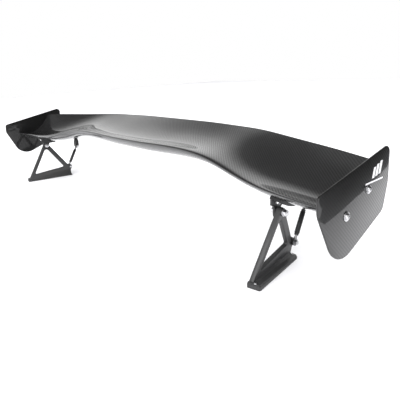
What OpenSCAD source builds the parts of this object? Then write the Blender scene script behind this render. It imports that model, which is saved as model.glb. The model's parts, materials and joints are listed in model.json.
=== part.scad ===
// Adjustable racing rear wing.
// The aerofoil turns about a bolt at the top of each pedestal, and a turnbuckle strut
// behind each pedestal sets its angle.
// +X is the left end of the span, -Y is the way the car drives, and +Z is up.
// Heights are counted from the underside of the base plates. Lengths are in millimetres.
// All shapes are laid out with the pivot line at y = 0, and placed() then moves the
// whole wing so that the origin lies under the middle of its box.

/* [Aerofoil] */
// Distance between the inner faces of the endplates
span = 1530; // [1200:10:1800]
// Chord of the section in the middle of the span
centre_chord = 225; // [180:1:270]
// Chord of the section at the endplates
tip_chord = 153; // [120:1:190]
// Thickness of the centre section, as a share of its chord
centre_thickness = 0.151; // [0.12:0.001:0.18]
// Thickness of the tip section, as a share of its chord
tip_thickness = 0.166; // [0.13:0.001:0.2]
// Thickness of the carbon-fibre skins
skin_t = 1.6; // [1:0.1:2.5]
// Thickness of the blunt trailing edge
trailing_edge_t = 2.6; // [1.5:0.1:4]
// Half the length of the middle foam block, along the span
centre_core_half = 287; // [200:1:340]
// Thickness of the rib that closes each tip
tip_rib_t = 12; // [8:1:20]

/* [Endplates] */
// Thickness of an endplate
endplate_t = 3.3; // [2:0.1:6]
// Radius of the washers under the endplate bolts
endplate_washer_r = 8.8; // [7:0.1:11]
// Thread radius of the endplate bolts
endplate_bolt_r = 3; // [2:0.5:4]

/* [Pedestals] */
// Distance of a pivot inboard of the endplate's inner face
pivot_inset = 152.5; // [100:0.5:350]
// Height of the pivot line
pivot_h = 137.5; // [120:0.5:190]
// Angle by which the rear of each pedestal turns inwards
toe_in = 10.8; // [0:0.1:15]
// Angle by which each upright leans outwards
lean = 10.6; // [0:0.1:14]
// Length of a base plate
base_l = 176; // [174:0.5:200]
// Width of a base plate
base_w = 30.4; // [29:0.1:45]
// Thickness of a base plate at its front end
base_t = 9; // [7:0.5:14]
// Thickness of a base plate at its rear end
base_t_rear = 3.6; // [3:0.1:9]
// Thickness of the upright's foot flange
foot_t = 2.6; // [2:0.1:5]
// Thickness of the upright's web
web_t = 10; // [8:0.5:12]
// Distance of the pivot behind the front end of the base plate
pivot_setback = 86; // [80:0.5:92]
// Width of the front leg
front_leg_w = 13; // [10:0.5:18]
// Width of the rear leg
rear_leg_w = 16.5; // [12:0.5:20]
// Thread radius of the three bolts that hold a base plate down
mount_thread_r = 3; // [2.5:0.5:4]
// Depth of the front one, into the upright; the next two are 2 and 4 mm shallower, as the foot slopes
mount_thread_depth = 16; // [10:0.5:18]
// Thread radius of the pivot bolt
pivot_bolt_r = 4; // [3:0.5:5]

/* [Brackets] */
// Thickness of the front bracket's ear
ear_t = 5; // [4:0.5:7]
// Width of the bracket flanges across the span
flange_w = 30; // [26:1:40]
// Thickness of the bracket flanges
flange_t = 6; // [5:0.5:8]
// Length of the front bracket's flange along the car
front_flange_l = 58; // [50:1:70]
// Length of the rear bracket's flange along the car
rear_flange_l = 44; // [40:1:50]
// Size of the rear bracket's post along the car
post_l = 15; // [14:0.5:18]
// Thread radius of the bracket screws
bracket_screw_r = 2.5; // [2:0.5:3]

/* [Struts] */
// Distance of the plane that a strut moves in, inboard of the pivot
strut_inset = 24.5; // [23:0.5:26]
// Distance of the lower strut bolt behind the pivot line
lower_pin_y = 80.5; // [78:0.5:83]
// Height of the lower strut bolt
lower_pin_h = 38; // [35:0.5:42]
// Distance of the upper strut bolt behind the pivot line
upper_pin_y = 125; // [119:0.5:131]
// Upper strut bolt, below the pivot line
upper_pin_drop = 19; // [13:0.5:24]
// Length of the turnbuckle sleeve
sleeve_l = 53; // [48:0.5:56]
// Outer radius of the sleeve
sleeve_r = 5.8; // [5:0.1:8]
// Thickness of the rod ends
rod_end_t = 7; // [6:0.5:8]
// Outer radius of the rod ends
rod_end_r = 8.5; // [8:0.1:9.5]
// Thread radius of the rods and of the strut bolts
rod_r = 3; // [2.5:0.5:3]

/* [Hidden] */

$fn = 48;
fit = 0.05;        // radial clearance of a turning or threaded fit
gap = 0.3;         // clearance between faces that move past each other
seat = 0.2;        // clearance between a bracket and the skin it is bonded to
open_pivot = 0.3;  // radial clearance at the upper strut bolt
eps = 0.01;

half_span = span / 2;
pivot_x = half_span - pivot_inset;
strut_x = pivot_x - strut_inset;

// ---------- aerofoil ----------
// Each row shapes the wing at one knot, and knots are an eighth of the half span apart.
// Columns: nose y, nose height over the pivot line, share of the way from the tip chord
// to the centre chord, incidence in degrees, and camber as a share of the chord.
// Between knots the rows are blended by a cubic B-spline, so the shape has no kinks.
KEYS = [[   1, 86.3,  1.00, 10.1, 0.148],
        [   2, 86.3,  1.00, 10.0, 0.150],
        [   7, 88.2,  0.96,  9.5, 0.144],
        [  11, 87.2,  0.90,  9.1, 0.133],
        [ 8.5, 79.2,  0.82, 11.5, 0.122],
        [-5.5, 57.4,  0.73, 16.8, 0.148],
        [ -21, 43.4,  0.57, 21.6, 0.200],
        [ -35, 44.3,  0.29, 23.8, 0.233],
        [ -51, 45.6,  0.00, 25.6, 0.265],
        [ -67, 45.4, -0.28, 27.4, 0.299]];
last_knot = len(KEYS) - 1;
knot_gap = half_span / 8;
camber_lean = 0.35;  // how far the camber's peak lies ahead of mid chord

function bump(u) = let (a = abs(u))
    a < 1 ? 2 / 3 - a * a + a * a * a / 2 : a < 2 ? pow(2 - a, 3) / 6 : 0;
function weight(u, k) = bump(u - k) + (k == 1 ? bump(u + 1) : 0);
function blend(u, c, k = 0) =
    k > last_knot ? 0 : KEYS[k][c] * weight(u, k) + blend(u, c, k + 1);

// A section: [nose y, nose z, chord, incidence, camber, thickness]
function section(x) = let (u = abs(x) / knot_gap, share = abs(x) / half_span)
    [blend(u, 0), pivot_h + blend(u, 1),
     tip_chord + (centre_chord - tip_chord) * blend(u, 2), blend(u, 3), blend(u, 4),
     centre_thickness + (tip_thickness - centre_thickness) * share];

function camber_of(s, u) = s[2] * 4 * s[4] * u * (1 - u) * (1 - camber_lean * (2 * u - 1));
function half_thick(s, u) = s[2] * s[5] * 5 * (0.2969 * sqrt(u) - 0.126 * u
    - 0.3516 * u * u + 0.2843 * pow(u, 3) - 0.1036 * pow(u, 4))
    + trailing_edge_t / 2 * u;
function lift(s, u, h) = [s[0] + s[2] * u * cos(s[3]) - h * sin(s[3]),
                          s[1] + s[2] * u * sin(s[3]) + h * cos(s[3])];

// A point on the upper (side 1) or lower (side -1) face, or inset into the section.
function face_point(s, u, side, inset = 0) =
    lift(s, u, -camber_of(s, u) + side * max(half_thick(s, u) - inset, 0));

chord_steps = 14;
function share_at(i) = (1 - cos(180 * i / chord_steps)) / 2;

// A skin's ring: out along its face from nose to tail, and back along its inner face.
function skin_ring(x, side) = let (s = section(x))
    concat([for (i = [0 : chord_steps]) face_point(s, share_at(i), side)],
           [for (i = [chord_steps : -1 : 1]) face_point(s, share_at(i), side, skin_t)]);
core_first = 1;
core_last = 12;
function core_ring(x, inset) = let (s = section(x))
    concat([for (i = [core_first : core_last]) face_point(s, share_at(i), 1, inset)],
           [for (i = [core_last : -1 : core_first]) face_point(s, share_at(i), -1, inset)]);

// A solid through rings of points, given as [y, z] lists at the places xs.
// A ring goes out along one face and back along the other. Each four-sided patch is split
// from its inboard nose corner, so that pieces that meet are split alike.
// turn is 1 where a ring runs clockwise seen from +X, and -1 where it runs the other way.
function across(j, n) = (n - 1 + n % 2 - j) % n;
module loft(rings, xs, turn) {
    n = len(rings[0]);
    last = len(xs) - 1;
    points = [for (i = [0 : last]) for (p = rings[i]) [xs[i], p[0], p[1]]];
    sides = [for (i = [0 : last - 1]) for (j = [0 : n - 1])
                let (a = i * n + j, b = i * n + (j + 1) % n,
                     split_at_a = (j < n / 2) == (xs[i] + xs[i + 1] > 0))
                for (f = split_at_a ? [[a, b, b + n], [a, b + n, a + n]]
                                    : [[a, b, a + n], [b, b + n, a + n]]) f];
    // the end caps are strips from one side of the ring straight across to the other
    cap = [for (j = [0 : ceil(n / 2) - 2])
        let (p = across(j, n), q = across(j + 1, n))
            j + 1 == q ? [j, j + 1, p] : p == j ? [j, j + 1, q] : [j, j + 1, q, p]];
    start = [for (f = cap) [for (k = [len(f) - 1 : -1 : 0]) f[k]]];
    end = [for (f = cap) [for (j = f) last * n + j]];
    faces = concat(sides, start, end);
    polyhedron(points, turn > 0 ? faces : [for (f = faces) [for (k = [len(f) - 1 : -1 : 0]) f[k]]]);
}

// Places along the span where the rings lie
ring_steps = 32;
ring_gap = span / ring_steps;
function spread(from, to) = let (n = max(1, round((to - from) / ring_gap)))
    [for (i = [0 : n]) from + (to - from) * i / n];
rib_x = half_span - tip_rib_t;
core_xs = spread(-centre_core_half, centre_core_half);
outer_core_xs = spread(centre_core_half, rib_x);
skin_xs = concat([for (i = [len(outer_core_xs) - 1 : -1 : 1]) -outer_core_xs[i]],
                 core_xs, [for (i = [1 : len(outer_core_xs) - 1]) outer_core_xs[i]]);
all_xs = concat([-half_span], skin_xs, [half_span]);

// ---------- underside, which the brackets follow ----------
// The point on the underside at share u, moved d into the wing, and the slope there
function under_slope(s, u) = let (a = face_point(s, u - 0.004, -1), b = face_point(s, u + 0.004, -1))
    atan2(b[1] - a[1], b[0] - a[0]);
function under(s, u, d) = let (p = face_point(s, u, -1), t = under_slope(s, u))
    [p[0] - d * sin(t), p[1] + d * cos(t)];
// The share of the chord at which the underside reaches y
function under_share(s, y, low = 0.03, high = 0.99, n = 14) = let (m = (low + high) / 2)
    n == 0 ? m : face_point(s, m, -1)[0] < y ? under_share(s, y, m, high, n - 1)
                                             : under_share(s, y, low, m, n - 1);
// The underside from y0 to y1, moved d into the wing
function under_line(s, y0, y1, d, n = 8) =
    let (u0 = under_share(s, y0), u1 = under_share(s, y1))
    [for (i = [0 : n]) under(s, u0 + (u1 - u0) * i / n, d)];
function backwards(list) = [for (i = [len(list) - 1 : -1 : 0]) list[i]];
// A strip of the underside from y0 to y1, from depth d0 down to the shallower depth d1
function strip(s, y0, y1, d0, d1) =
    concat(under_line(s, y0, y1, d0), backwards(under_line(s, y0, y1, d1)));
// A plate that follows the underside from x0 to x1 and from y0 to y1
module lining(x0, x1, y0, y1, d0, d1) {
    xs = [for (i = [0 : 4]) x0 + (x1 - x0) * i / 4];
    loft([for (x = xs) strip(section(x), y0, y1, d0, d1)], xs, 1);
}

// Extrudes a [y, z] outline along the span, from x0 to x1
module across(x0, x1) {
    translate([x0, 0, 0]) rotate([90, 0, 90]) linear_extrude(x1 - x0) children();
}
// Stands its children on the underside at y: +Z points into the wing
module on_underside(s, x, y) {
    p = under(s, under_share(s, y), 0);
    translate([x, p[0], p[1]]) rotate([under_slope(s, under_share(s, y)), 0, 0]) children();
}
// A cylinder along X, from x0 to x1
module rod_x(x0, x1, r, y, z) {
    translate([x0, y, z]) rotate([0, 90, 0]) cylinder(h = x1 - x0, r = r);
}
// A hexagon prism along X, across_flats wide
module hex_x(x0, x1, across_flats, y, z) {
    translate([x0, y, z]) rotate([0, 90, 0]) cylinder(h = x1 - x0, r = across_flats / sqrt(3), $fn = 6);
}

// ---------- whole wing's place, and its two sides ----------
module placed() { translate([0, -(front_y + rear_y) / 2, 0]) children(); }
module left() { placed() children(); }
module right() { placed() mirror([1, 0, 0]) children(); }

// ---------- aerofoil pieces ----------
module upper_skin() {
    color("#1c1c1e") placed() loft([for (x = all_xs) skin_ring(x, 1)], all_xs, 1);
}
module lower_skin() {
    color("#2a2a2c") placed() difference() {
        loft([for (x = all_xs) skin_ring(x, -1)], all_xs, -1);
        for (m = [0, 1]) mirror([m, 0, 0]) bracket_screw_holes(bracket_screw_r + fit);
    }
}
module core_centre() {
    color("#e9dfae") placed() loft([for (x = core_xs) core_ring(x, skin_t)], core_xs, 1);
}
module outer_core() {
    difference() {
        loft([for (x = outer_core_xs) core_ring(x, skin_t)], outer_core_xs, 1);
        front_insert_plate();
        rear_insert_plate();
        bracket_screw_holes(bracket_screw_r + fit);
    }
}
module core_left() { color("#e9dfae") left() outer_core(); }
module core_right() { color("#e9dfae") right() outer_core(); }

// Rib and threaded inserts at each tip, where the endplate bolts screw in
tip_bolts = [[-17, 32.8], [58.9, 64.3]];  // [y, height over the pivot line]
insert_r = 4.2;
module at_tip_bolts() {
    for (b = tip_bolts) translate([0, b[0], pivot_h + b[1]]) children();
}
module tip_rib() {
    xs = [rib_x, half_span];
    difference() {
        loft([for (x = xs) core_ring(x, skin_t)], xs, 1);
        at_tip_bolts() rod_x(rib_x - 1, half_span + 1, insert_r, 0, 0);
    }
}
module tip_inserts() {
    at_tip_bolts() difference() {
        rod_x(rib_x, half_span, insert_r, 0, 0);
        rod_x(rib_x - 1, half_span + 1, endplate_bolt_r + fit, 0, 0);
    }
}
module tip_rib_left() { color("#b8babd") left() tip_rib(); }
module tip_rib_right() { color("#b8babd") right() tip_rib(); }
module tip_inserts_left() { color("#c9a94e") left() tip_inserts(); }
module tip_inserts_right() { color("#c9a94e") right() tip_inserts(); }

// Plates buried in the foam over each bracket, which the bracket screws bite into
insert_w = 28;
insert_t = 7;
insert_depth = skin_t + 1.6;
insert_margin = 3;
module front_insert_plate() {
    lining(front_flange_x - insert_w / 2, front_flange_x + insert_w / 2,
           front_flange_y0 + insert_margin, front_flange_y1 - insert_margin,
           insert_depth + insert_t, insert_depth);
}
module rear_insert_plate() {
    lining(strut_x - insert_w / 2, strut_x + insert_w / 2,
           rear_flange_y0 + insert_margin, rear_flange_y1 - insert_margin,
           insert_depth + insert_t, insert_depth);
}
module front_insert() {
    difference() {
        front_insert_plate();
        front_screw_places() screw_hole(bracket_screw_r + fit);
    }
}
module rear_insert() {
    difference() {
        rear_insert_plate();
        rear_screw_places() screw_hole(bracket_screw_r + fit);
    }
}
module front_insert_left() { color("#b8babd") left() front_insert(); }
module front_insert_right() { color("#b8babd") right() front_insert(); }
module rear_insert_left() { color("#b8babd") left() rear_insert(); }
module rear_insert_right() { color("#b8babd") right() rear_insert(); }

// ---------- endplates ----------
// Corners as [y, height over the pivot line, corner radius]
ENDPLATE = [[-103, 88, 9], [143, 137, 15], [138.5, 61, 70],
            [119.5, 8, 22], [-48, -57, 55], [-105, 57, 30]];
// The ends of the whole wing along the car
front_y = min([for (p = rounded(ENDPLATE)) p[0]]);
rear_y = max([for (x = all_xs) lift(section(x), 1, -trailing_edge_t / 2)[0]]);

// The arc that rounds corner i of a list of [x, y, radius] corners
function unit(v) = v / norm(v);
function corner(c, i, n = 10) =
    let (k = len(c), p = [c[i][0], c[i][1]],
         q = c[(i + k - 1) % k], w = c[(i + 1) % k],
         a = unit([q[0], q[1]] - p), b = unit([w[0], w[1]] - p),
         half = acos(a * b) / 2, r = c[i][2],
         centre = p + unit(a + b) * r / sin(half),
         from = p + a * r / tan(half) - centre, to = p + b * r / tan(half) - centre,
         t0 = atan2(from[1], from[0]), turn = atan2(to[1], to[0]) - t0,
         sweep = turn > 180 ? turn - 360 : turn < -180 ? turn + 360 : turn)
    [for (j = [0 : n]) centre + r * [cos(t0 + sweep * j / n), sin(t0 + sweep * j / n)]];
// The same for an open run of corners, whose first and last stay sharp
function rounded_run(c) = let (last = len(c) - 1)
    concat([[c[0][0], c[0][1]]], [for (i = [1 : last - 1]) for (p = corner(c, i)) p],
           [[c[last][0], c[last][1]]]);
function rounded(c) = [for (i = [0 : len(c) - 1]) for (p = corner(c, i)) p];

module endplate() {
    difference() {
        across(half_span, half_span + endplate_t)
            translate([0, pivot_h]) polygon(rounded(ENDPLATE));
        at_tip_bolts() rod_x(half_span - 1, half_span + endplate_t + 1, endplate_bolt_r + fit, 0, 0);
    }
}
endplate_washer_t = 1.6;
outer_face = half_span + endplate_t;
module endplate_washers() {
    at_tip_bolts() difference() {
        rod_x(outer_face, outer_face + endplate_washer_t, endplate_washer_r, 0, 0);
        rod_x(outer_face - 1, outer_face + endplate_washer_t + 1, endplate_bolt_r + fit, 0, 0);
    }
}
bolt_head_h = 4.4;
module endplate_bolts() {
    face = outer_face + endplate_washer_t;
    at_tip_bolts() difference() {
        union() {
            rod_x(rib_x + 1, face + eps, endplate_bolt_r, 0, 0);
            button_head_x(face, endplate_bolt_r * 1.95, bolt_head_h);
        }
        hex_x(face + 1.2, face + bolt_head_h + 1, endplate_bolt_r * 1.6, 0, 0);
    }
}
// A domed screw head on the face at x, pointing to +X
module button_head_x(x, r, h) {
    translate([x, 0, 0]) rotate([0, 90, 0]) intersection() {
        cylinder(h = h, r = r);
        translate([0, 0, h - r * 1.25]) sphere(r = r * 1.25, $fn = 64);
    }
}
module endplate_left() { color("#161617") left() endplate(); }
module endplate_right() { color("#161617") right() endplate(); }
module endplate_washers_left() { color("silver") left() endplate_washers(); }
module endplate_washers_right() { color("silver") right() endplate_washers(); }
module endplate_bolts_left() { color("silver") left() endplate_bolts(); }
module endplate_bolts_right() { color("silver") right() endplate_bolts(); }

// ---------- pedestals ----------
// A pedestal is laid out in its own frame: x outboard, y to the rear and z up,
// from the inboard front corner of its base plate.
web_inset = 0.5;
web_mid = web_inset + web_t / 2;
pivot_out = web_mid + pivot_h * tan(lean);
module pedestal_frame() {
    translate([pivot_x, 0, 0]) rotate([0, 0, toe_in]) translate([-pivot_out, -pivot_setback, 0])
        children();
}
// The deck is the top of the foot flange. It slopes down to the rear with the base plate.
deck_slope = atan((base_t - base_t_rear) / base_l);
function deck_h(s) = base_t + foot_t - s * tan(deck_slope);
module deck_frame() {
    pedestal_frame() translate([0, 0, deck_h(0)]) rotate([-deck_slope, 0, 0]) children();
}

// The web's outline: x runs to the rear from the front end of the base plate, and y runs
// up the leaning web.
apex_r = 9.8;
boss_r = 8.4;
lug_r = 9.4;
lug_boss_r = 8.2;
apex = [pivot_setback, pivot_h / cos(lean)];
lug = [pivot_setback + strut_inset * sin(toe_in) + lower_pin_y * cos(toe_in),
       lower_pin_h / cos(lean)];
toe = [4.4, deck_h(4) + 0.3];         // where the front leg's edge would meet the deck
toe_fillet = 5;
lug_fillet = 6;
window_r = 3.5;
front_edge_tilt = tangent_tilt(toe, apex, apex_r);
rear_edge_tilt = -54.8;
front_edge_dir = [cos(front_edge_tilt), sin(front_edge_tilt)];
rear_edge_dir = [cos(rear_edge_tilt), sin(rear_edge_tilt)];
// The direction from point a that touches a circle of radius r at c on its left
function tangent_tilt(a, c, r) = atan2(c[1] - a[1], c[0] - a[0]) + asin(r / norm(c - a));
function left_of(dir, d) = d * [-dir[1], dir[0]];
// The place where the line through a along u meets the line through b along v
function meet(a, u, b, v) =
    a + u * ((b[0] - a[0]) * v[1] - (b[1] - a[1]) * v[0]) / (u[0] * v[1] - u[1] * v[0]);
front_line = apex + left_of(front_edge_dir, apex_r);
rear_line = apex + left_of(rear_edge_dir, apex_r);
inner_front_line = front_line - left_of(front_edge_dir, front_leg_w);
inner_rear_line = rear_line - left_of(rear_edge_dir, rear_leg_w);
rear_end = base_l - 3.5;             // the web's rear edge under the lug
WEB = [[1, toe[1], 0.3], [toe[0], toe[1], toe_fillet],
       concat(meet(front_line, front_edge_dir, rear_line, rear_edge_dir), apex_r),
       concat(meet(rear_line, rear_edge_dir, lug + [0, lug_r], [1, 0]), lug_fillet),
       [lug[0] + lug_r, lug[1] + lug_r, lug_r],
       [lug[0] + lug_r, lug[1] - lug_r * 0.6, 3],
       [rear_end, lug[1] - lug_r * 1.6, lug_fillet], [rear_end, 0, 0.5], [1, 0, 0.5]];
window_floor_front = 12;             // window's floor over the deck, at its front and rear ends
window_floor_rear = 33;
window_floor = [0, deck_h(0) + window_floor_front];
window_floor_dir = unit([base_l, window_floor_rear - window_floor_front]);
WINDOW = [concat(meet(inner_front_line, front_edge_dir, window_floor, window_floor_dir), window_r),
          concat(meet(inner_rear_line, rear_edge_dir, window_floor, window_floor_dir), window_r),
          concat(meet(inner_front_line, front_edge_dir, inner_rear_line, rear_edge_dir), apex_r)];
module web_outline() {
    difference() {
        polygon(rounded(WEB));
        polygon(rounded(WINDOW));
    }
}
// Bolt lengths along X at the pivot, counted from pivot_x
boss_in = 6;
boss_out = 9.5;
washer_t = 1.5;
pivot_head_h = 5.3;
pivot_nut_h = 6.5;
ear_in = -(boss_in + gap + ear_t);
// Bosses for the lower strut bolt, counted from strut_x
lug_face = -(rod_end_t / 2 + gap);
lug_boss_in = -16.5;
web_fillet = 14;
fillet_dip = 0.5;                    // how far the fillet's curve dips under the deck
module upright() {
    difference() {
        union() {
            difference() {
                pedestal_frame() translate([web_mid, 0, 0]) rotate([0, lean, 0])
                    translate([-web_t / 2, 0, 0]) rotate([90, 0, 90])
                        linear_extrude(web_t) web_outline();
                deck_frame() translate([-60, -20, -foot_t - 40]) cube([140, base_l + 40, 40]);
            }
            deck_frame() {
                translate([0, 0, -foot_t]) linear_extrude(foot_t) foot_outline();
                translate([0, fillet_y0, 0]) rotate([90, 0, 0]) mirror([0, 0, 1])
                    linear_extrude(fillet_y1 - fillet_y0) fillet_outline();
            }
            rod_x(pivot_x - boss_in, pivot_x + boss_out, boss_r, 0, pivot_h);
            rod_x(strut_x + lug_boss_in, strut_x + lug_face, lug_boss_r, lower_pin_y, lower_pin_h);
        }
        rod_x(pivot_x - boss_in - 30, pivot_x - boss_in, ear_sweep_r, 0, pivot_h);
        rod_x(strut_x + lug_face, strut_x + lug_face + 30, rod_end_r + 2, lower_pin_y, lower_pin_h);
        rod_x(pivot_x - 40, pivot_x + 40, pivot_bolt_r + fit, 0, pivot_h);
        rod_x(strut_x - 40, strut_x + 40, rod_r + fit, lower_pin_y, lower_pin_h);
        rod_x(strut_x + lug_boss_in - 30, strut_x + lug_boss_in, rod_r * 3.3 / sqrt(3) + gap,
              lower_pin_y, lower_pin_h);
        foot_screw_places() cylinder(h = 40, r = foot_screw_r + fit, center = true);
        foot_screw_places() cylinder(h = 30, r = foot_head_r + gap);
        mount_threads();
    }
}
// The hollow curve between the web and the foot, seen along the pedestal
fillet_y0 = toe[0] + 8;
fillet_y1 = rear_end - 4;
module fillet_outline() {
    middle = web_mid + web_t / 2 + web_fillet;
    difference() {
        translate([web_mid, -foot_t / 2])
            square([web_t / 2 + web_fillet, web_fillet * 0.9 + foot_t / 2]);
        translate([middle, web_fillet - fillet_dip]) circle(r = web_fillet);
    }
}
plate_corner = 12;
function plate_corners(inset) =
    [[inset, inset, 1.5], [base_w - inset, inset, 3],
     [base_w - inset, base_l - inset, plate_corner], [inset, base_l - inset, 1.5]];
module foot_outline() { polygon(rounded(plate_corners(0.8))); }
mount_end = 28;                      // from each end of the base plate to a hold-down thread
mount_places = [mount_end, base_l / 2, base_l - mount_end];
mount_out = 8;                       // and from the inboard edge
module mount_threads() {
    pedestal_frame() for (i = [0 : 2]) translate([mount_out, mount_places[i], -1])
        cylinder(h = mount_thread_depth - 2 * i + 1, r = mount_thread_r);
}
module base_plate() {
    difference() {
        pedestal_frame() linear_extrude(base_t + 1) polygon(rounded(plate_corners(0)));
        deck_frame() translate([-60, -20, -foot_t]) cube([140, base_l + 40, 20]);
        mount_threads();
        foot_screw_places() cylinder(h = 40, r = foot_screw_r + fit, center = true);
    }
}
foot_screw_r = 2;
foot_head_h = 2;
foot_head_r = 3.4;
foot_screw_l = 5;
foot_screw_out = base_w - 12;
module foot_screw_places() {
    deck_frame() for (s = [4, base_l - 6]) translate([foot_screw_out, s, 0]) children();
}
module foot_screws() {
    foot_screw_places() difference() {
        union() {
            translate([0, 0, -foot_screw_l]) cylinder(h = foot_screw_l + eps, r = foot_screw_r);
            cylinder(h = foot_head_h, r = foot_head_r);
        }
        translate([0, 0, 0.8]) cylinder(h = 3, r = 1.7, $fn = 6);
    }
}
module upright_left() { color("#2b2b2d") left() upright(); }
module upright_right() { color("#2b2b2d") right() upright(); }
module base_plate_left() { color("#202022") left() base_plate(); }
module base_plate_right() { color("#202022") right() base_plate(); }
module foot_screws_left() { color("silver") left() foot_screws(); }
module foot_screws_right() { color("silver") right() foot_screws(); }

// ---------- pivot bolt ----------
ear_washer_x = pivot_x + ear_in - gap - washer_t;
nut_washer_x = pivot_x + boss_out;
module pivot_bolt() {
    union() {
        rod_x(ear_washer_x - eps, nut_washer_x + washer_t + pivot_nut_h + 1.5, pivot_bolt_r, 0, pivot_h);
        hex_x(ear_washer_x - pivot_head_h, ear_washer_x, pivot_bolt_r * 3.25, 0, pivot_h);
    }
}
module pivot_washers() {
    for (x = [ear_washer_x, nut_washer_x]) difference() {
        rod_x(x, x + washer_t, pivot_bolt_r * 2, 0, pivot_h);
        rod_x(x - 1, x + washer_t + 1, pivot_bolt_r + fit, 0, pivot_h);
    }
}
module pivot_nut() {
    x = nut_washer_x + washer_t;
    difference() {
        hex_x(x, x + pivot_nut_h, pivot_bolt_r * 3.25, 0, pivot_h);
        rod_x(x - 1, x + pivot_nut_h + 1, pivot_bolt_r + fit, 0, pivot_h);
    }
}
module pivot_bolt_left() { color("silver") left() pivot_bolt(); }
module pivot_bolt_right() { color("silver") right() pivot_bolt(); }
module pivot_washers_left() { color("silver") left() pivot_washers(); }
module pivot_washers_right() { color("silver") right() pivot_washers(); }
module pivot_nut_left() { color("silver") left() pivot_nut(); }
module pivot_nut_right() { color("silver") right() pivot_nut(); }

// ---------- front bracket ----------
front_flange_y0 = -19;
front_flange_y1 = front_flange_y0 + front_flange_l;
ear_r = 10;
ear_drop = 5.5;                      // the round foot of the ear, below the pivot
ear_sweep_r = ear_r + ear_drop + 1;
gusset_r = 13;
saddle_x0 = pivot_x + ear_in;
saddle_x1 = saddle_x0 + flange_w;
front_flange_x = (saddle_x0 + saddle_x1) / 2;
front_section = section(front_flange_x);
module front_bracket() {
    difference() {
        union() {
            lining(saddle_x0 - 1, saddle_x1, front_flange_y0, front_flange_y1, -seat, -seat - flange_t);
            across(saddle_x0, saddle_x0 + ear_t) ear_outline();
        }
        rod_x(saddle_x0 - 1, saddle_x0 + ear_t + 1, pivot_bolt_r + fit, 0, pivot_h);
        front_screw_places() screw_hole(bracket_screw_r + fit);
        front_screw_places() spot_face();
    }
}
// The ear widens into the flange through a hollow curve on each side
module ear_outline() {
    s = section(saddle_x0 + ear_t / 2);
    wide = ear_r + gusset_r;
    foot = pivot_h - ear_drop - ear_r;
    flare = pivot_h + 2;
    top = under_line(s, front_flange_y0 + 1, wide, -seat - flange_t / 2);
    front = front_flange_y0 + 1;
    corners = concat([[front, flare + gusset_r, 0.3], [-ear_r, flare + gusset_r, gusset_r * 0.6],
                      [-ear_r, foot, ear_r - eps], [ear_r, foot, ear_r - eps],
                      [ear_r, flare + gusset_r * 0.6, gusset_r * 0.6],
                      [wide, flare + gusset_r * 0.6, 0.3]]);
    polygon(concat(rounded_run(corners), backwards(top)));
}
// Screw places stand on the underside, with +Z into the wing
front_screws = [-11, 31];
front_screw_x = front_flange_x + 3;
screw_in = 12;                       // how far a screw reaches into the wing
module front_screw_places() {
    for (y = front_screws) on_underside(section(front_screw_x), front_screw_x, y) children();
}
module screw_hole(r) { translate([0, 0, -20]) cylinder(h = 20 + screw_in + 1, r = r); }
// The flat that a screw's head sits on, milled into the curved flange
head_h = 3;
head_r = bracket_screw_r * 1.8;
module spot_face() {
    translate([0, 0, -seat - flange_t - head_h - 1]) cylinder(h = head_h + 1, r = head_r + gap);
}
module bracket_screw() {
    translate([0, 0, -seat - flange_t - eps]) cylinder(h = seat + flange_t + screw_in, r = bracket_screw_r);
    translate([0, 0, -seat - flange_t - head_h]) difference() {
        cylinder(h = head_h, r = head_r);
        translate([0, 0, -1]) cylinder(h = 2.6, r = bracket_screw_r * 0.9, $fn = 6);
    }
}
module bracket_screw_holes(r) {
    front_screw_places() screw_hole(r);
    rear_screw_places() screw_hole(r);
}
module front_bracket_left() { color("#262628") left() front_bracket(); }
module front_bracket_right() { color("#262628") right() front_bracket(); }
module front_bracket_screws_left() { color("silver") left() front_screw_places() bracket_screw(); }
module front_bracket_screws_right() { color("silver") right() front_screw_places() bracket_screw(); }

// ---------- rear bracket ----------
upper_pin_h = pivot_h - upper_pin_drop;
rear_flange_y1 = upper_pin_y;
rear_flange_y0 = rear_flange_y1 - rear_flange_l;
slot_w = rod_end_t + 2 * gap;
cheek_t = 4.6;
post_w = slot_w + 2 * cheek_t;
post_top = 24;                       // top of the wide fork, over the upper strut bolt
web_w = 7;                           // thickness of the web above the fork
web_flare = 46;                      // radius of the hollow curve in front of that web
rear_section = section(strut_x);
module rear_bracket() {
    front_edge = upper_pin_y - post_l / 2;
    rear_edge = upper_pin_y + post_l / 2;
    difference() {
        union() {
            lining(strut_x - flange_w / 2, strut_x + flange_w / 2,
                   rear_flange_y0, rear_flange_y1, -seat, -seat - flange_t);
            across(strut_x - web_w / 2, strut_x + web_w / 2) difference() {
                polygon(concat([[rear_edge, upper_pin_h + post_top - 1],
                                [front_edge, upper_pin_h + post_top - 1],
                                [front_edge - web_flare, upper_pin_h + post_top - 1]],
                               under_line(rear_section, front_edge - web_flare + 8,
                                          rear_flange_y1, -seat - flange_t / 2)));
                translate([front_edge - web_flare, upper_pin_h + post_top - 1]) circle(r = web_flare);
            }
            across(strut_x - post_w / 2, strut_x + post_w / 2) {
                translate([front_edge, upper_pin_h]) square([post_l, post_top]);
                translate([upper_pin_y, upper_pin_h]) circle(r = post_l / 2);
            }
        }
        translate([strut_x - slot_w / 2, upper_pin_y - post_l, upper_pin_h - post_l])
            cube([slot_w, 2 * post_l, post_l + rod_end_r + 2.5]);
        rod_x(strut_x - post_w, strut_x + post_w, rod_r + fit, upper_pin_y, upper_pin_h);
        rear_screw_places() screw_hole(bracket_screw_r + fit);
        rear_screw_places() spot_face();
    }
}
rear_screw_in = 10;                  // from each end of the flange
rear_screw_out = 9.6;                // from the web's middle
module rear_screw_places() {
    for (y = [rear_flange_y0 + rear_screw_in, rear_flange_y1 - rear_screw_in])
        for (x = [strut_x - rear_screw_out, strut_x + rear_screw_out])
            on_underside(section(x), x, y) children();
}
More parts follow.
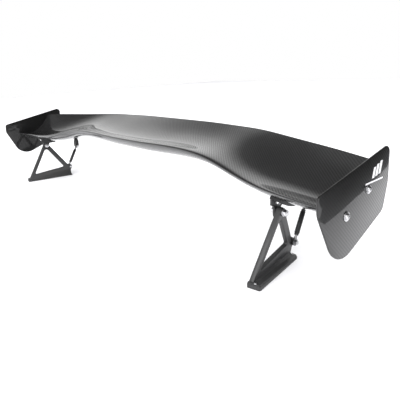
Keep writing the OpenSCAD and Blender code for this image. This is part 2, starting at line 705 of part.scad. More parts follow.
module rear_bracket_left() { color("#262628") left() rear_bracket(); }
module rear_bracket_right() { color("#262628") right() rear_bracket(); }
module rear_bracket_screws_left() { color("silver") left() rear_screw_places() bracket_screw(); }
module rear_bracket_screws_right() { color("silver") right() rear_screw_places() bracket_screw(); }

// ---------- struts ----------
lower_pin = [lower_pin_y, lower_pin_h];
upper_pin = [upper_pin_y, upper_pin_h];
strut_l = norm(upper_pin - lower_pin);
strut_tilt = atan2(upper_pin[1] - lower_pin[1], upper_pin[0] - lower_pin[0]);
// The strut's own frame: +Z from the lower bolt to the upper one
module strut_frame() {
    translate([strut_x, lower_pin[0], lower_pin[1]]) rotate([strut_tilt - 90, 0, 0]) children();
}
jam_nut_h = 4;
sleeve_from = (strut_l - sleeve_l) / 2;
tip_gap = 8.6;                       // room between the two rods inside the sleeve
rod_reach = (strut_l - tip_gap) / 2;
module rod_end(eye_r) {
    difference() {
        union() {
            rod_x(-rod_end_t / 2, rod_end_t / 2, rod_end_r, 0, 0);
            translate([0, 0, rod_end_r - 2]) cylinder(h = 4.5, r1 = rod_end_t / 2, r2 = rod_r + 1);
            cylinder(h = rod_reach, r = rod_r);
        }
        rod_x(-rod_end_t, rod_end_t, eye_r, 0, 0);
    }
}
module strut_lower_rod() { strut_frame() rod_end(rod_r + fit); }
module strut_upper_rod() {
    strut_frame() translate([0, 0, strut_l]) mirror([0, 0, 1]) rod_end(rod_r + open_pivot);
}
module strut_sleeve() {
    strut_frame() translate([0, 0, sleeve_from]) difference() {
        union() {
            cylinder(h = sleeve_l, r = sleeve_r - 0.6);
            translate([0, 0, 1.5]) cylinder(h = sleeve_l - 3, r = sleeve_r);
        }
        translate([0, 0, -1]) cylinder(h = sleeve_l + 2, r = rod_r + fit);
    }
}
module strut_jam_nuts() {
    strut_frame() for (z = [sleeve_from - jam_nut_h, sleeve_from + sleeve_l]) translate([0, 0, z])
        difference() {
            cylinder(h = jam_nut_h, r = rod_r * 3.2 / sqrt(3), $fn = 6);
            translate([0, 0, -1]) cylinder(h = jam_nut_h + 2, r = rod_r + fit);
        }
}
// A hex bolt and its nut through x0 to x1
strut_head_h = 4;
strut_nut_h = 5;
module strut_bolt(x0, x1, pin) {
    rod_x(x0 - eps, x1 + strut_nut_h + 1.2, rod_r, pin[0], pin[1]);
    hex_x(x0 - strut_head_h, x0, rod_r * 3.3, pin[0], pin[1]);
}
module strut_nut(x, pin) {
    difference() {
        hex_x(x, x + strut_nut_h, rod_r * 3.3, pin[0], pin[1]);
        rod_x(x - 1, x + strut_nut_h + 1, rod_r + fit, pin[0], pin[1]);
    }
}
lower_nut_x = strut_x + rod_end_t / 2 + gap;
module strut_lower_bolt_left() {
    color("silver") left() strut_bolt(strut_x + lug_boss_in, lower_nut_x, lower_pin);
}
module strut_lower_bolt_right() {
    color("silver") right() strut_bolt(strut_x + lug_boss_in, lower_nut_x, lower_pin);
}
module strut_lower_nut_left() { color("silver") left() strut_nut(lower_nut_x, lower_pin); }
module strut_lower_nut_right() { color("silver") right() strut_nut(lower_nut_x, lower_pin); }
module strut_upper_bolt_left() {
    color("silver") left() strut_bolt(strut_x - post_w / 2, strut_x + post_w / 2, upper_pin);
}
module strut_upper_bolt_right() {
    color("silver") right() strut_bolt(strut_x - post_w / 2, strut_x + post_w / 2, upper_pin);
}
module strut_upper_nut_left() { color("silver") left() strut_nut(strut_x + post_w / 2, upper_pin); }
module strut_upper_nut_right() { color("silver") right() strut_nut(strut_x + post_w / 2, upper_pin); }
module strut_lower_rod_left() { color("#55565a") left() strut_lower_rod(); }
module strut_lower_rod_right() { color("#55565a") right() strut_lower_rod(); }
module strut_sleeve_left() { color("#1d1d1f") left() strut_sleeve(); }
module strut_sleeve_right() { color("#1d1d1f") right() strut_sleeve(); }
module strut_jam_nuts_left() { color("#303033") left() strut_jam_nuts(); }
module strut_jam_nuts_right() { color("#303033") right() strut_jam_nuts(); }
module strut_upper_rod_left() { color("#55565a") left() strut_upper_rod(); }
module strut_upper_rod_right() { color("#55565a") right() strut_upper_rod(); }

upper_skin();
lower_skin();
core_centre();
core_left();
core_right();
tip_rib_left();
tip_rib_right();
tip_inserts_left();
tip_inserts_right();
front_insert_left();
front_insert_right();
rear_insert_left();
rear_insert_right();
endplate_left();
endplate_right();
endplate_washers_left();
endplate_washers_right();
endplate_bolts_left();
endplate_bolts_right();
front_bracket_left();
front_bracket_right();
front_bracket_screws_left();
front_bracket_screws_right();
rear_bracket_left();
rear_bracket_right();
rear_bracket_screws_left();
rear_bracket_screws_right();
upright_left();
upright_right();
base_plate_left();
base_plate_right();
foot_screws_left();
foot_screws_right();
pivot_bolt_left();
pivot_bolt_right();
pivot_washers_left();
pivot_washers_right();
pivot_nut_left();
pivot_nut_right();
strut_lower_rod_left();
strut_lower_rod_right();
strut_sleeve_left();
strut_sleeve_right();
strut_jam_nuts_left();
strut_jam_nuts_right();
strut_upper_rod_left();
strut_upper_rod_right();
strut_lower_bolt_left();
strut_lower_bolt_right();
strut_lower_nut_left();
strut_lower_nut_right();
strut_upper_bolt_left();
strut_upper_bolt_right();
strut_upper_nut_left();
strut_upper_nut_right();
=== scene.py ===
"""Adjustable racing rear wing in twill carbon fibre, on two black pedestals with turnbuckle struts.

Lengths are in metres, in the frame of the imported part: +X runs along the span, -Y is the way
the car drives and +Z is up.
"""
import json
import math

import bmesh
import bpy
from mathutils import Matrix, Vector

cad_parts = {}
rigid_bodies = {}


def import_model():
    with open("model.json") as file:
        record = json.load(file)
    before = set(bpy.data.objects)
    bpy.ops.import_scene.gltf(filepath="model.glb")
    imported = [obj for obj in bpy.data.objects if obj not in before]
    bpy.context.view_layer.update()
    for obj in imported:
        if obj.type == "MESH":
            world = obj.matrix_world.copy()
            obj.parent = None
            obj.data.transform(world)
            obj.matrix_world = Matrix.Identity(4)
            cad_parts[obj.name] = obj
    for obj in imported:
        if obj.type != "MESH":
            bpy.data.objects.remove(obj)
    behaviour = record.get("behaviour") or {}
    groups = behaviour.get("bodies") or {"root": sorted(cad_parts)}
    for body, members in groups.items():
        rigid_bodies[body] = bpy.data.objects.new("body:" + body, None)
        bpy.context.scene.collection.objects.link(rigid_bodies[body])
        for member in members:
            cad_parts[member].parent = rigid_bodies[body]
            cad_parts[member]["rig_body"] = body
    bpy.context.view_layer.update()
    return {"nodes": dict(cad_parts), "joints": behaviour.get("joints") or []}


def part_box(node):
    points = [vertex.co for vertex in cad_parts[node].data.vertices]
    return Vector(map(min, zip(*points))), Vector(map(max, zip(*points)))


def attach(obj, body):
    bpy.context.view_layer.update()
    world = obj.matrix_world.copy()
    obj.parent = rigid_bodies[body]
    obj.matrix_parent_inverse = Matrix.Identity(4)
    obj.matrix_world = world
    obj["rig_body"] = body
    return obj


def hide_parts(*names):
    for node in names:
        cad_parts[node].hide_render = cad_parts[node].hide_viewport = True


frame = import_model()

MM = 0.001


# ---------- sizes of the wing ----------
pivot_line = next(Vector(j["pos_m"]) for j in frame["joints"] if j["name"] == "angle_of_attack")
half_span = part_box("endplate_left")[0].x
endplate_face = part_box("endplate_left")[1].x

# Each row shapes the aerofoil at one knot, an eighth of the half span apart.
# Columns: nose y and nose height from the pivot line in mm, share of the way from the tip chord
# to the centre chord, incidence in degrees, and camber as a share of the chord.
KEYS = [[   1, 86.3,  1.00, 10.1, 0.148],
        [   2, 86.3,  1.00, 10.0, 0.150],
        [   7, 88.2,  0.96,  9.5, 0.144],
        [  11, 87.2,  0.90,  9.1, 0.133],
        [ 8.5, 79.2,  0.82, 11.5, 0.122],
        [-5.5, 57.4,  0.73, 16.8, 0.148],
        [ -21, 43.4,  0.57, 21.6, 0.200],
        [ -35, 44.3,  0.29, 23.8, 0.233],
        [ -51, 45.6,  0.00, 25.6, 0.265],
        [ -67, 45.4, -0.28, 27.4, 0.299]]
KNOTS_PER_HALF = 8
THICKNESS_LAW = (0.2969, -0.126, -0.3516, 0.2843, -0.1036)
SECTION_SHARE = 0.985       # share of the rows round a section that lie on its two faces
TIP_CHORD = 0.153
CENTRE_CHORD = 0.225
TIP_THICKNESS = 0.166       # as a share of the chord
CENTRE_THICKNESS = 0.151
TRAILING_EDGE = 0.0026
CAMBER_LEAN = 0.35          # how far the deepest camber is moved towards the nose
SPAN_ROWS = 321
SECTION_ROWS = 133

# Endplate corners as (y, height from the pivot line, corner radius), in mm
ENDPLATE = [(-103, 88, 9), (143, 137, 15), (138.5, 61, 70),
            (119.5, 8, 22), (-48, -57, 55), (-105, 57, 30)]
ENDPLATE_EDGE = 0.0009      # radius of an endplate's edges


# ---------- node trees ----------
class Field:
    """A number that varies over a surface. Sums and products of fields add Math nodes."""

    def __init__(self, tree, socket):
        self.tree = tree
        self.socket = socket

    def math(self, operation, *others):
        node = self.tree.nodes.new("ShaderNodeMath")
        node.operation = operation
        for slot, value in zip(node.inputs, (self, *others)):
            if isinstance(value, Field):
                self.tree.links.new(value.socket, slot)
            else:
                slot.default_value = value
        return Field(self.tree, node.outputs[0])

    def __add__(self, other):
        return self.math("ADD", other)

    def __sub__(self, other):
        return self.math("SUBTRACT", other)

    def __mul__(self, other):
        return self.math("MULTIPLY", other)

    def times_plus(self, factor, extra):
        return self.math("MULTIPLY_ADD", factor, extra)


def new_node(tree, kind, inputs=(), **settings):
    """A node with its settings and the values or links of its inputs."""
    node = tree.nodes.new(kind)
    for name, value in settings.items():
        setattr(node, name, value)
    for key, value in dict(inputs).items():
        if isinstance(value, Field):
            value = value.socket
        if isinstance(value, bpy.types.NodeSocket):
            tree.links.new(value, node.inputs[key])
        else:
            node.inputs[key].default_value = value
    return node


def geometry_tree(name, sockets):
    """An empty Geometry Nodes tree with named inputs, given as (name, socket type)."""
    tree = bpy.data.node_groups.new(name, "GeometryNodeTree")
    face = tree.interface
    face.new_socket("Geometry", in_out="INPUT", socket_type="NodeSocketGeometry")
    for label, kind in sockets:
        face.new_socket(label, in_out="INPUT", socket_type=kind)
    face.new_socket("Geometry", in_out="OUTPUT", socket_type="NodeSocketGeometry")
    start = tree.nodes.new("NodeGroupInput")
    end = tree.nodes.new("NodeGroupOutput")
    return tree, start.outputs, end.inputs


def mesh_object(name, mesh):
    thing = bpy.data.objects.new(name, mesh)
    bpy.context.scene.collection.objects.link(thing)
    return thing


def made_by(tree, name, values):
    """Runs a tree with these input values and keeps its result as a plain mesh object."""
    base = mesh_object(name + "_base", bpy.data.meshes.new(name + "_base"))
    modifier = base.modifiers.new("build", "NODES")
    modifier.node_group = tree
    identifiers = {s.name: s.identifier for s in tree.interface.items_tree if s.in_out == "INPUT"}
    for label, value in values.items():
        modifier[identifiers[label]] = value
    bpy.context.view_layer.update()
    evaluated = base.evaluated_get(bpy.context.evaluated_depsgraph_get())
    mesh = bpy.data.meshes.new_from_object(evaluated)
    base.modifiers.remove(modifier)
    bpy.data.objects.remove(base)
    mesh.name = name
    return mesh_object(name, mesh)


# ---------- materials ----------
def surface(name, **values):
    """A material whose shader has these constant values."""
    material = bpy.data.materials.new(name)
    material.use_nodes = True
    shader = material.node_tree.nodes["Principled BSDF"]
    for label, value in values.items():
        shader.inputs[label.replace("_", " ")].default_value = value
    return material, material.node_tree, shader


def object_axes(tree):
    """The piece's own coordinates, as three fields."""
    coords = tree.nodes.new("ShaderNodeTexCoord")
    split = new_node(tree, "ShaderNodeSeparateXYZ", {0: coords.outputs["Object"]})
    return [Field(tree, split.outputs[i]) for i in range(3)], coords.outputs["Object"]


def two_tone(tree, factor, dark, light):
    """A colour between two greys, as a factor runs from 0 to 1."""
    mix = new_node(tree, "ShaderNodeMix", {0: factor}, data_type="RGBA")
    mix.inputs["A"].default_value = (*dark, 1)
    mix.inputs["B"].default_value = (*light, 1)
    return mix.outputs["Result"]


def raised(tree, shader, height, distance, strength):
    bump = new_node(tree, "ShaderNodeBump", {"Height": height, "Strength": strength,
                                             "Distance": distance})
    tree.links.new(bump.outputs["Normal"], shader.inputs["Normal"])


TOW = 0.0019                # width of one tow of the 2 x 2 twill
TOW_RELIEF = 0.00012


def twill_carbon(name, along, dark, light, coat, relief):
    """Clear-coated 2 x 2 twill. along says which two axes the tows follow on the piece."""
    material, tree, shader = surface(name, Metallic=0.0, Coat_Weight=coat, Coat_Roughness=0.025,
                                     Coat_IOR=1.5, Specular_IOR_Level=0.25)
    (x, y, z), place = object_axes(tree)
    warp_axis, weft_axis = {"wing": (x, y + z * 0.6), "endplate": (y, z)}[along]
    a = warp_axis * (1 / TOW)
    b = weft_axis * (1 / TOW)
    step = a.math("FLOOR") + b.math("FLOOR")
    quarter = (step * 0.25).math("FRACT")
    weft_up = quarter.math("GREATER_THAN", 0.49)
    # each tow is round across its width, so it is highest along its own middle
    round_warp = (a * math.pi).math("SINE").math("ABSOLUTE")
    round_weft = (b * math.pi).math("SINE").math("ABSOLUTE")
    height = new_node(tree, "ShaderNodeMix", {0: weft_up, "A": round_warp, "B": round_weft})
    height = Field(tree, height.outputs["Result"])
    noise = new_node(tree, "ShaderNodeTexNoise", {"Vector": place, "Scale": 60.0, "Detail": 3.0})
    # the colour is lifted where each tow is highest: painted sheen on the tow crowns and painted
    # shade in the grooves between tows; weft_up and the noise give the weave pattern and random
    # tone
    tone = weft_up * 0.7 + height * 0.25 + Field(tree, noise.outputs["Fac"]) * 0.15
    tree.links.new(two_tone(tree, tone, dark, light), shader.inputs["Base Color"])
    roughness = weft_up.times_plus(-0.12, 0.42)
    tree.links.new(roughness.socket, shader.inputs["Roughness"])
    raised(tree, shader, height, TOW_RELIEF, relief)
    return material


def worked_metal(name, dark, light, metallic, roughness, grain, streak=(1.0, 1.0, 1.0),
                 pit=0.00004):
    """Metal with fine tool marks: streak stretches the grain along one axis."""
    material, tree, shader = surface(name, Metallic=metallic)
    _, place = object_axes(tree)
    stretch = new_node(tree, "ShaderNodeMapping", {"Vector": place, "Scale": streak})
    fine = new_node(tree, "ShaderNodeTexNoise",
                    {"Vector": stretch.outputs[0], "Scale": grain, "Detail": 5.0,
                     "Roughness": 0.65})
    broad = new_node(tree, "ShaderNodeTexNoise", {"Vector": place, "Scale": 22.0, "Detail": 2.0})
    fine_field = Field(tree, fine.outputs["Fac"])
    broad_field = Field(tree, broad.outputs["Fac"])
    tone = fine_field * 0.6 + broad_field * 0.4
    tree.links.new(two_tone(tree, tone, dark, light), shader.inputs["Base Color"])
    rough = fine_field * 0.16 + broad_field * 0.1 + (roughness - 0.13)
    tree.links.new(rough.socket, shader.inputs["Roughness"])
    raised(tree, shader, fine_field, pit, 0.5)
    return material


def grey(value):
    return (value, value, value * 1.02)


wing_carbon = twill_carbon("wing_twill", "wing", grey(0.005), grey(0.02), 1.0, 0.35)
endplate_carbon = twill_carbon("endplate_twill", "endplate", grey(0.005), grey(0.009), 0.6, 0.12)
black_anodising = worked_metal("black_anodising", grey(0.03), grey(0.055), 0.3, 0.45, 900.0)
bracket_anodising = worked_metal("bracket_anodising", grey(0.018), grey(0.04), 0.4, 0.4, 900.0)
sleeve_anodising = worked_metal("sleeve_anodising", grey(0.012), grey(0.03), 0.5, 0.36, 700.0)
stainless_steel = worked_metal("stainless_steel", grey(0.5), grey(0.72), 1.0, 0.27, 1200.0)
zinc_plate = worked_metal("zinc_plate", grey(0.2), grey(0.34), 1.0, 0.36, 800.0)
black_oxide = worked_metal("black_oxide", grey(0.04), grey(0.09), 0.8, 0.42, 800.0)
milled_aluminium = worked_metal("milled_aluminium", grey(0.6), grey(0.75), 1.0, 0.35, 500.0,
                                (1.0, 8.0, 1.0))
turned_brass = worked_metal("turned_brass", (0.6, 0.42, 0.16), (0.78, 0.6, 0.28), 1.0, 0.3, 900.0)
core_foam = worked_metal("core_foam", (0.62, 0.54, 0.34), (0.78, 0.7, 0.5), 0.0, 0.85, 300.0,
                         pit=0.0004)
mark_paint = worked_metal("mark_paint", grey(0.72), grey(0.85), 0.0, 0.35, 400.0, pit=0.00001)


def paint(thing, material):
    thing.data.materials.clear()
    thing.data.materials.append(material)


# ---------- aerofoil ----------
def b_spline_weight(u, knot):
    """The pull of one knot on the place u, which is nothing past two knots away."""
    away = (u - knot).math("ABSOLUTE")
    wide = (away * -1.0 + 2.0).math("MAXIMUM", 0.0).math("POWER", 3.0)
    narrow = (away * -1.0 + 1.0).math("MAXIMUM", 0.0).math("POWER", 3.0)
    return wide * (1 / 6) - narrow * (4 / 6)


def aerofoil_tree():
    """A closed skin round the wing: a grid whose x runs along the span and y round the section."""
    numbers = ["Half span", "Pivot y", "Pivot height", "Tip chord", "Centre chord",
               "Tip thickness", "Centre thickness", "Trailing edge", "Camber lean"]
    sockets = [(label, "NodeSocketFloat") for label in numbers]
    sockets += [("Span rows", "NodeSocketInt"), ("Section rows", "NodeSocketInt"),
                ("Finish", "NodeSocketMaterial")]
    tree, given, result = geometry_tree("aerofoil", sockets)
    value = {label: Field(tree, given[label]) for label in numbers}
    grid = new_node(tree, "GeometryNodeMeshGrid",
                    {"Size X": 2.0, "Size Y": 1.0, "Vertices X": given["Span rows"],
                     "Vertices Y": given["Section rows"]})
    place = new_node(tree, "GeometryNodeInputPosition")
    split = new_node(tree, "ShaderNodeSeparateXYZ", {0: place.outputs[0]})
    along = Field(tree, split.outputs[0])
    # round the section: over the top to the nose, back underneath, then up the blunt edge
    turn = (Field(tree, split.outputs[1]) + 0.5) * (1 / SECTION_SHARE)
    lap = turn.math("MINIMUM", 1.0)
    half_turn = lap * math.pi
    root = half_turn.math("COSINE")
    share = root * root
    top_side = root.math("SIGN")
    side = top_side + (turn - 1.0).math("MAXIMUM", 0.0) * (2 * SECTION_SHARE / (1 - SECTION_SHARE))

    tip_share = along.math("ABSOLUTE")
    u = tip_share * KNOTS_PER_HALF
    columns = [u * 0.0 for _ in KEYS[0]]
    for knot, row in enumerate(KEYS):
        pull = b_spline_weight(u, knot)
        if knot == 1:
            pull = pull + b_spline_weight(u, -1)
        columns = [pull.times_plus(number, total) for number, total in zip(row, columns)]
    nose_y = columns[0] * MM + value["Pivot y"]
    nose_z = columns[1] * MM + value["Pivot height"]
    chord = columns[2] * (value["Centre chord"] - value["Tip chord"]) + value["Tip chord"]
    incidence = columns[3] * math.radians(1)
    thickness = (value["Tip thickness"] - value["Centre thickness"]) * tip_share \
        + value["Centre thickness"]

    lean = (share * 2.0 - 1.0) * value["Camber lean"] * -1.0 + 1.0
    camber = chord * columns[4] * share * (share * -1.0 + 1.0) * lean * 4.0
    law = share.math("SQRT") * THICKNESS_LAW[0]
    for power, factor in enumerate(THICKNESS_LAW[1:], 1):
        law = share.math("POWER", float(power)).times_plus(factor, law)
    half = chord * thickness * law * 5.0 + value["Trailing edge"] * share * 0.5
    rise = side * half - camber
    run = chord * share
    cosine = incidence.math("COSINE")
    sine = incidence.math("SINE")
    y = nose_y + run * cosine - rise * sine
    z = nose_z + run * sine + rise * cosine
    x = along * value["Half span"]
    shape = new_node(tree, "ShaderNodeCombineXYZ", {0: x, 1: y, 2: z})
    bent = new_node(tree, "GeometryNodeSetPosition",
                    {"Geometry": grid.outputs["Mesh"], "Position": shape.outputs[0]})
    joined = new_node(tree, "GeometryNodeMergeByDistance",
                      {"Geometry": bent.outputs[0], "Distance": 0.00002})
    smooth = new_node(tree, "GeometryNodeSetShadeSmooth", {"Geometry": joined.outputs[0]})
    real = new_node(tree, "GeometryNodeRealizeInstances", {0: smooth.outputs[0]})
    finish = new_node(tree, "GeometryNodeSetMaterial",
                      {"Geometry": real.outputs[0], "Material": given["Finish"]})
    tree.links.new(finish.outputs[0], result[0])
    return tree


def close_and_turn_out(mesh):
    """Caps the open ends of a shell and points its faces outwards."""
    shape = bmesh.new()
    shape.from_mesh(mesh)
    bmesh.ops.holes_fill(shape, edges=[e for e in shape.edges if e.is_boundary], sides=0)
    bmesh.ops.triangulate(shape, faces=[f for f in shape.faces if len(f.verts) > 4])
    bmesh.ops.recalc_face_normals(shape, faces=shape.faces)
    shape.to_mesh(mesh)
    shape.free()
    mesh.set_sharp_from_angle(angle=math.radians(40))


def aerofoil():
    wing = made_by(aerofoil_tree(), "aerofoil_shell", {
        "Half span": half_span, "Pivot y": pivot_line.y, "Pivot height": pivot_line.z,
        "Tip chord": TIP_CHORD, "Centre chord": CENTRE_CHORD, "Tip thickness": TIP_THICKNESS,
        "Centre thickness": CENTRE_THICKNESS, "Trailing edge": TRAILING_EDGE,
        "Camber lean": CAMBER_LEAN, "Span rows": SPAN_ROWS, "Section rows": SECTION_ROWS,
        "Finish": wing_carbon})
    close_and_turn_out(wing.data)
    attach(wing, "wing")
    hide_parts("upper_skin", "lower_skin")


# ---------- endplates ----------
def rounded_outline(corners, steps=10):
    """The outline with each (x, y, radius) corner drawn as an arc."""
    outline = []
    for i, (x, y, radius) in enumerate(corners):
        here = Vector((x, y))
        back = (Vector(corners[i - 1][:2]) - here).normalized()
        ahead = (Vector(corners[(i + 1) % len(corners)][:2]) - here).normalized()
        half_angle = back.angle(ahead) / 2
        centre = here + (back + ahead).normalized() * radius / math.sin(half_angle)
        first = here + back * radius / math.tan(half_angle) - centre
        last = here + ahead * radius / math.tan(half_angle) - centre
        sweep = first.angle_signed(last)
        for j in range(steps + 1):
            spoke = Matrix.Rotation(-sweep * j / steps, 2) @ first
            outline.append(centre + spoke)
    return outline


def plate(name, outline, x0, x1, edge):
    """A flat plate across the span from x0 to x1, with rounded edges."""
    shape = bmesh.new()
    corners = [shape.verts.new((x0, p.x, p.y)) for p in outline]
    face = shape.faces.new(corners)
    grown = bmesh.ops.extrude_face_region(shape, geom=[face])
    new_corners = [v for v in grown["geom"] if isinstance(v, bmesh.types.BMVert)]
    bmesh.ops.translate(shape, vec=(x1 - x0, 0, 0), verts=new_corners)
    bmesh.ops.recalc_face_normals(shape, faces=shape.faces)
    rim = [e for e in shape.edges if abs(e.verts[0].co.x - e.verts[1].co.x) < 1e-7]
    bmesh.ops.bevel(shape, geom=rim, offset=edge, segments=3, profile=0.5, affect="EDGES")
    mesh = bpy.data.meshes.new(name)
    shape.to_mesh(mesh)
    shape.free()
    mesh.shade_smooth()
    mesh.set_sharp_from_angle(angle=math.radians(35))
    return mesh_object(name, mesh)


def endplates():
    outline = [Vector((pivot_line.y + p.x * MM, pivot_line.z + p.y * MM))
               for p in rounded_outline(ENDPLATE)]
    for side, sign in (("left", 1), ("right", -1)):
        skin = plate(f"endplate_panel_{side}", outline, sign * half_span, sign * endplate_face,
                     ENDPLATE_EDGE)
        paint(skin, endplate_carbon)
        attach(skin, "wing")
        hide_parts(f"endplate_{side}")


# ---------- softened copies of machined pieces ----------
def softened(node, edge, material):
    """A copy of a machined piece whose sharp edges are broken, in place of the plain one."""
    body = frame["nodes"][node]["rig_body"]
    mesh = frame["nodes"][node].data.copy()
    shape = bmesh.new()
    shape.from_mesh(mesh)
    bmesh.ops.remove_doubles(shape, verts=shape.verts, dist=1e-6)
    bmesh.ops.dissolve_limit(shape, angle_limit=math.radians(0.6), verts=shape.verts,
                             edges=shape.edges)
    shape.to_mesh(mesh)
    shape.free()
    piece = mesh_object(node + "_soft", mesh)
    bevel = piece.modifiers.new("edges", "BEVEL")
    bevel.width = edge
    bevel.segments = 2
    bevel.limit_method = "ANGLE"
    bevel.angle_limit = math.radians(38)
    bpy.context.view_layer.update()
    evaluated = piece.evaluated_get(bpy.context.evaluated_depsgraph_get())
    done = bpy.data.meshes.new_from_object(evaluated)
    piece.modifiers.clear()
    piece.data = done
    done.name = piece.name
    done.shade_smooth()
    done.set_sharp_from_angle(angle=math.radians(42))
    paint(piece, material)
    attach(piece, body)
    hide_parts(node)


SOFTENED = {
    "upright": (0.0005, black_anodising, "black_anodised"),
    "base_plate": (0.0006, black_anodising, "black_anodised"),
    "strut_sleeve": (0.0003, sleeve_anodising, "black_anodised"),
    "strut_jam_nuts": (0.0003, black_oxide, "black_steel"),
    "pivot_bolt": (0.0004, stainless_steel, "stainless"),
    "pivot_nut": (0.0004, stainless_steel, "stainless"),
    "pivot_washers": (0.0002, stainless_steel, "stainless"),
    "strut_lower_bolt": (0.0003, stainless_steel, "stainless"),
    "strut_lower_nut": (0.0003, stainless_steel, "stainless"),
    "strut_upper_bolt": (0.0003, stainless_steel, "stainless"),
    "strut_upper_nut": (0.0003, stainless_steel, "stainless"),
    "endplate_washers": (0.0003, stainless_steel, "stainless"),
    "endplate_bolts": (0.0002, stainless_steel, "stainless"),
}
REPAINTED = {
    "front_bracket": bracket_anodising, "rear_bracket": bracket_anodising,
    "strut_lower_rod": zinc_plate, "strut_upper_rod": zinc_plate,
    "foot_screws": stainless_steel, "front_bracket_screws": stainless_steel,
    "rear_bracket_screws": stainless_steel, "core": core_foam, "tip_rib": milled_aluminium,
    "front_insert": milled_aluminium, "rear_insert": milled_aluminium,
    "tip_inserts": turned_brass,
}


def metalwork():
    for side in ("left", "right"):
        for name, (edge, material, slot) in SOFTENED.items():
            softened(f"{name}_{side}", edge, material)
        for name, material in REPAINTED.items():
            paint(frame["nodes"][f"{name}_{side}"], material)
    paint(frame["nodes"]["core_centre"], core_foam)


# ---------- plain mark on the left endplate ----------
def slanted_bar(y, z, width, height, slant):
    """The four corners of a bar whose top is moved sideways by slant."""
    return [(y, z), (y + width, z), (y + width + slant, z + height), (y + slant, z + height)]


# Each bar as (y and height of its lower corner from the pivot line, width, how tall it is), in mm
MARK_BARS = [(72, 81, 8, 20), (84, 83, 8, 22), (96, 85, 8, 24)]
MARK_RULE = (48, 73, 66, 3)
MARK_SLANT = 7 / 20         # run of the slant for each unit of rise
MARK_DEPTH = 0.00015


def endplate_mark():
    """Three slanted bars over a thin rule, as a raised film of paint."""
    shape = bmesh.new()
    for y, z, width, height in [*MARK_BARS, MARK_RULE]:
        corners = slanted_bar(y, z, width, height, MARK_SLANT * height)
        lower = [shape.verts.new((endplate_face, pivot_line.y + y * MM, pivot_line.z + z * MM))
                 for y, z in corners]
        face = shape.faces.new(lower)
        grown = bmesh.ops.extrude_face_region(shape, geom=[face])
        lifted = [v for v in grown["geom"] if isinstance(v, bmesh.types.BMVert)]
        bmesh.ops.translate(shape, vec=(MARK_DEPTH, 0, 0), verts=lifted)
    bmesh.ops.recalc_face_normals(shape, faces=shape.faces)
    mesh = bpy.data.meshes.new("endplate_mark")
    shape.to_mesh(mesh)
    shape.free()
    mark = mesh_object("endplate_mark", mesh)
    paint(mark, mark_paint)
    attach(mark, "wing")


# ---------- camera, floor and light ----------
CAMERA_PLACE = Vector((1.1243, -0.7149, 0.4392))
CAMERA_HEADING = math.radians(48.47)
CAMERA_DIP = math.radians(8.43)
CAMERA_CANT = math.radians(-3.6)
CAMERA_LENS = 37.8
CAMERA_SHIFT = -0.1375
FLOOR_REACH = 7.0


def camera():
    lens = bpy.data.cameras.new("studio_camera")
    lens.lens = CAMERA_LENS
    lens.sensor_width = 36
    lens.shift_y = CAMERA_SHIFT
    lens.clip_start = 0.01
    viewer = mesh_object("studio_camera", lens)
    look = (Matrix.Rotation(CAMERA_CANT, 4, "X") @ Matrix.Rotation(CAMERA_HEADING, 4, "Z")
            @ Matrix.Rotation(math.radians(90) - CAMERA_DIP, 4, "X"))
    viewer.matrix_world = Matrix.Translation(CAMERA_PLACE) @ look
    bpy.context.scene.camera = viewer


def floor():
    mesh = bpy.data.meshes.new("studio_floor")
    reach = FLOOR_REACH
    mesh.from_pydata([(-reach, -reach, 0), (reach, -reach, 0), (reach, reach, 0),
                      (-reach, reach, 0)], [], [(0, 1, 2, 3)])
    sheet = mesh_object("studio_floor", mesh)
    material, tree, shader = surface("floor_paper", Roughness=0.9, Specular_IOR_Level=0.1)
    _, place = object_axes(tree)
    grain = new_node(tree, "ShaderNodeTexNoise", {"Vector": place, "Scale": 40.0})
    tree.links.new(two_tone(tree, grain.outputs["Fac"], grey(0.95), grey(0.97)),
                   shader.inputs["Base Color"])
    paint(sheet, material)


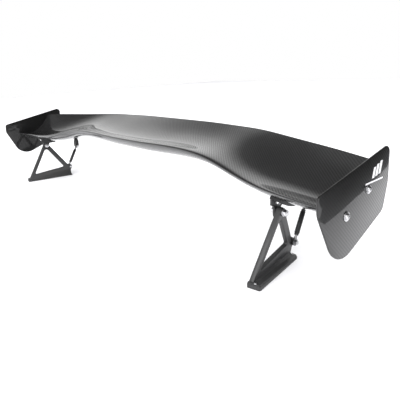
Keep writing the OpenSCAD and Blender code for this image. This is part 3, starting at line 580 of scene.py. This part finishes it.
def panel(name, place, target, size, power, in_gloss=True):
    """A soft square light at place, facing target. in_gloss says if glossy pieces mirror it."""
    lamp = bpy.data.lights.new(name, "AREA")
    lamp.size = size
    lamp.energy = power
    stand = mesh_object(name, lamp)
    stand.location = place
    stand.visible_glossy = in_gloss
    aim = Vector(target) - Vector(place)
    stand.rotation_euler = aim.to_track_quat("-Z", "Y").to_euler()


def black_flag(name, near, far, height):
    """A black card stood on the floor from near to far, which only glossy pieces see."""
    mesh = bpy.data.meshes.new(name)
    mesh.from_pydata([(*near, 0.001), (*far, 0.001), (*far, height), (*near, height)], [],
                     [(0, 1, 2, 3)])
    card = mesh_object(name, mesh)
    material, _, _ = surface(name, Roughness=1.0, Specular_IOR_Level=0.0)
    material.node_tree.nodes["Principled BSDF"].inputs["Base Color"].default_value = (0, 0, 0, 1)
    paint(card, material)
    card.visible_camera = False
    card.visible_diffuse = False
    card.visible_shadow = False


WALL_STOPS = [(0.0, 1.0), (0.3, 1.0), (0.45, 0.9), (0.56, 0.42), (0.64, 0.05), (1.0, 0.02)]


def studio_walls():
    """A white wall low down that fades into a dark ceiling. Stops are (height, brightness)."""
    world = bpy.data.worlds.new("studio")
    world.use_nodes = True
    tree = world.node_tree
    coords = tree.nodes.new("ShaderNodeTexCoord")
    split = new_node(tree, "ShaderNodeSeparateXYZ", {0: coords.outputs["Generated"]})
    ramp = new_node(tree, "ShaderNodeValToRGB", {0: split.outputs[2]})
    stops = ramp.color_ramp.elements
    while len(stops) < len(WALL_STOPS):
        stops.new(1.0)
    for stop, (height, brightness) in zip(stops, WALL_STOPS):
        stop.position = height
        stop.color = (brightness, brightness, brightness, 1)
    tree.links.new(ramp.outputs[0], tree.nodes["Background"].inputs[0])
    bpy.context.scene.world = world


camera()
floor()
studio_walls()
bpy.context.scene.view_settings.view_transform = "Standard"
panel("ceiling_panel", (0.0, 0.0, 6.0), (0.0, 0.0, 0.0), 16.0, 1500, in_gloss=False)
panel("front_panel", (1.8, -3.0, 2.2), (0.3, 0.0, 0.1), 1.8, 80)
black_flag("endplate_flag", (1.036, 0.1), (1.036, 3.0), 3.0)

aerofoil()
endplates()
metalwork()
endplate_mark()
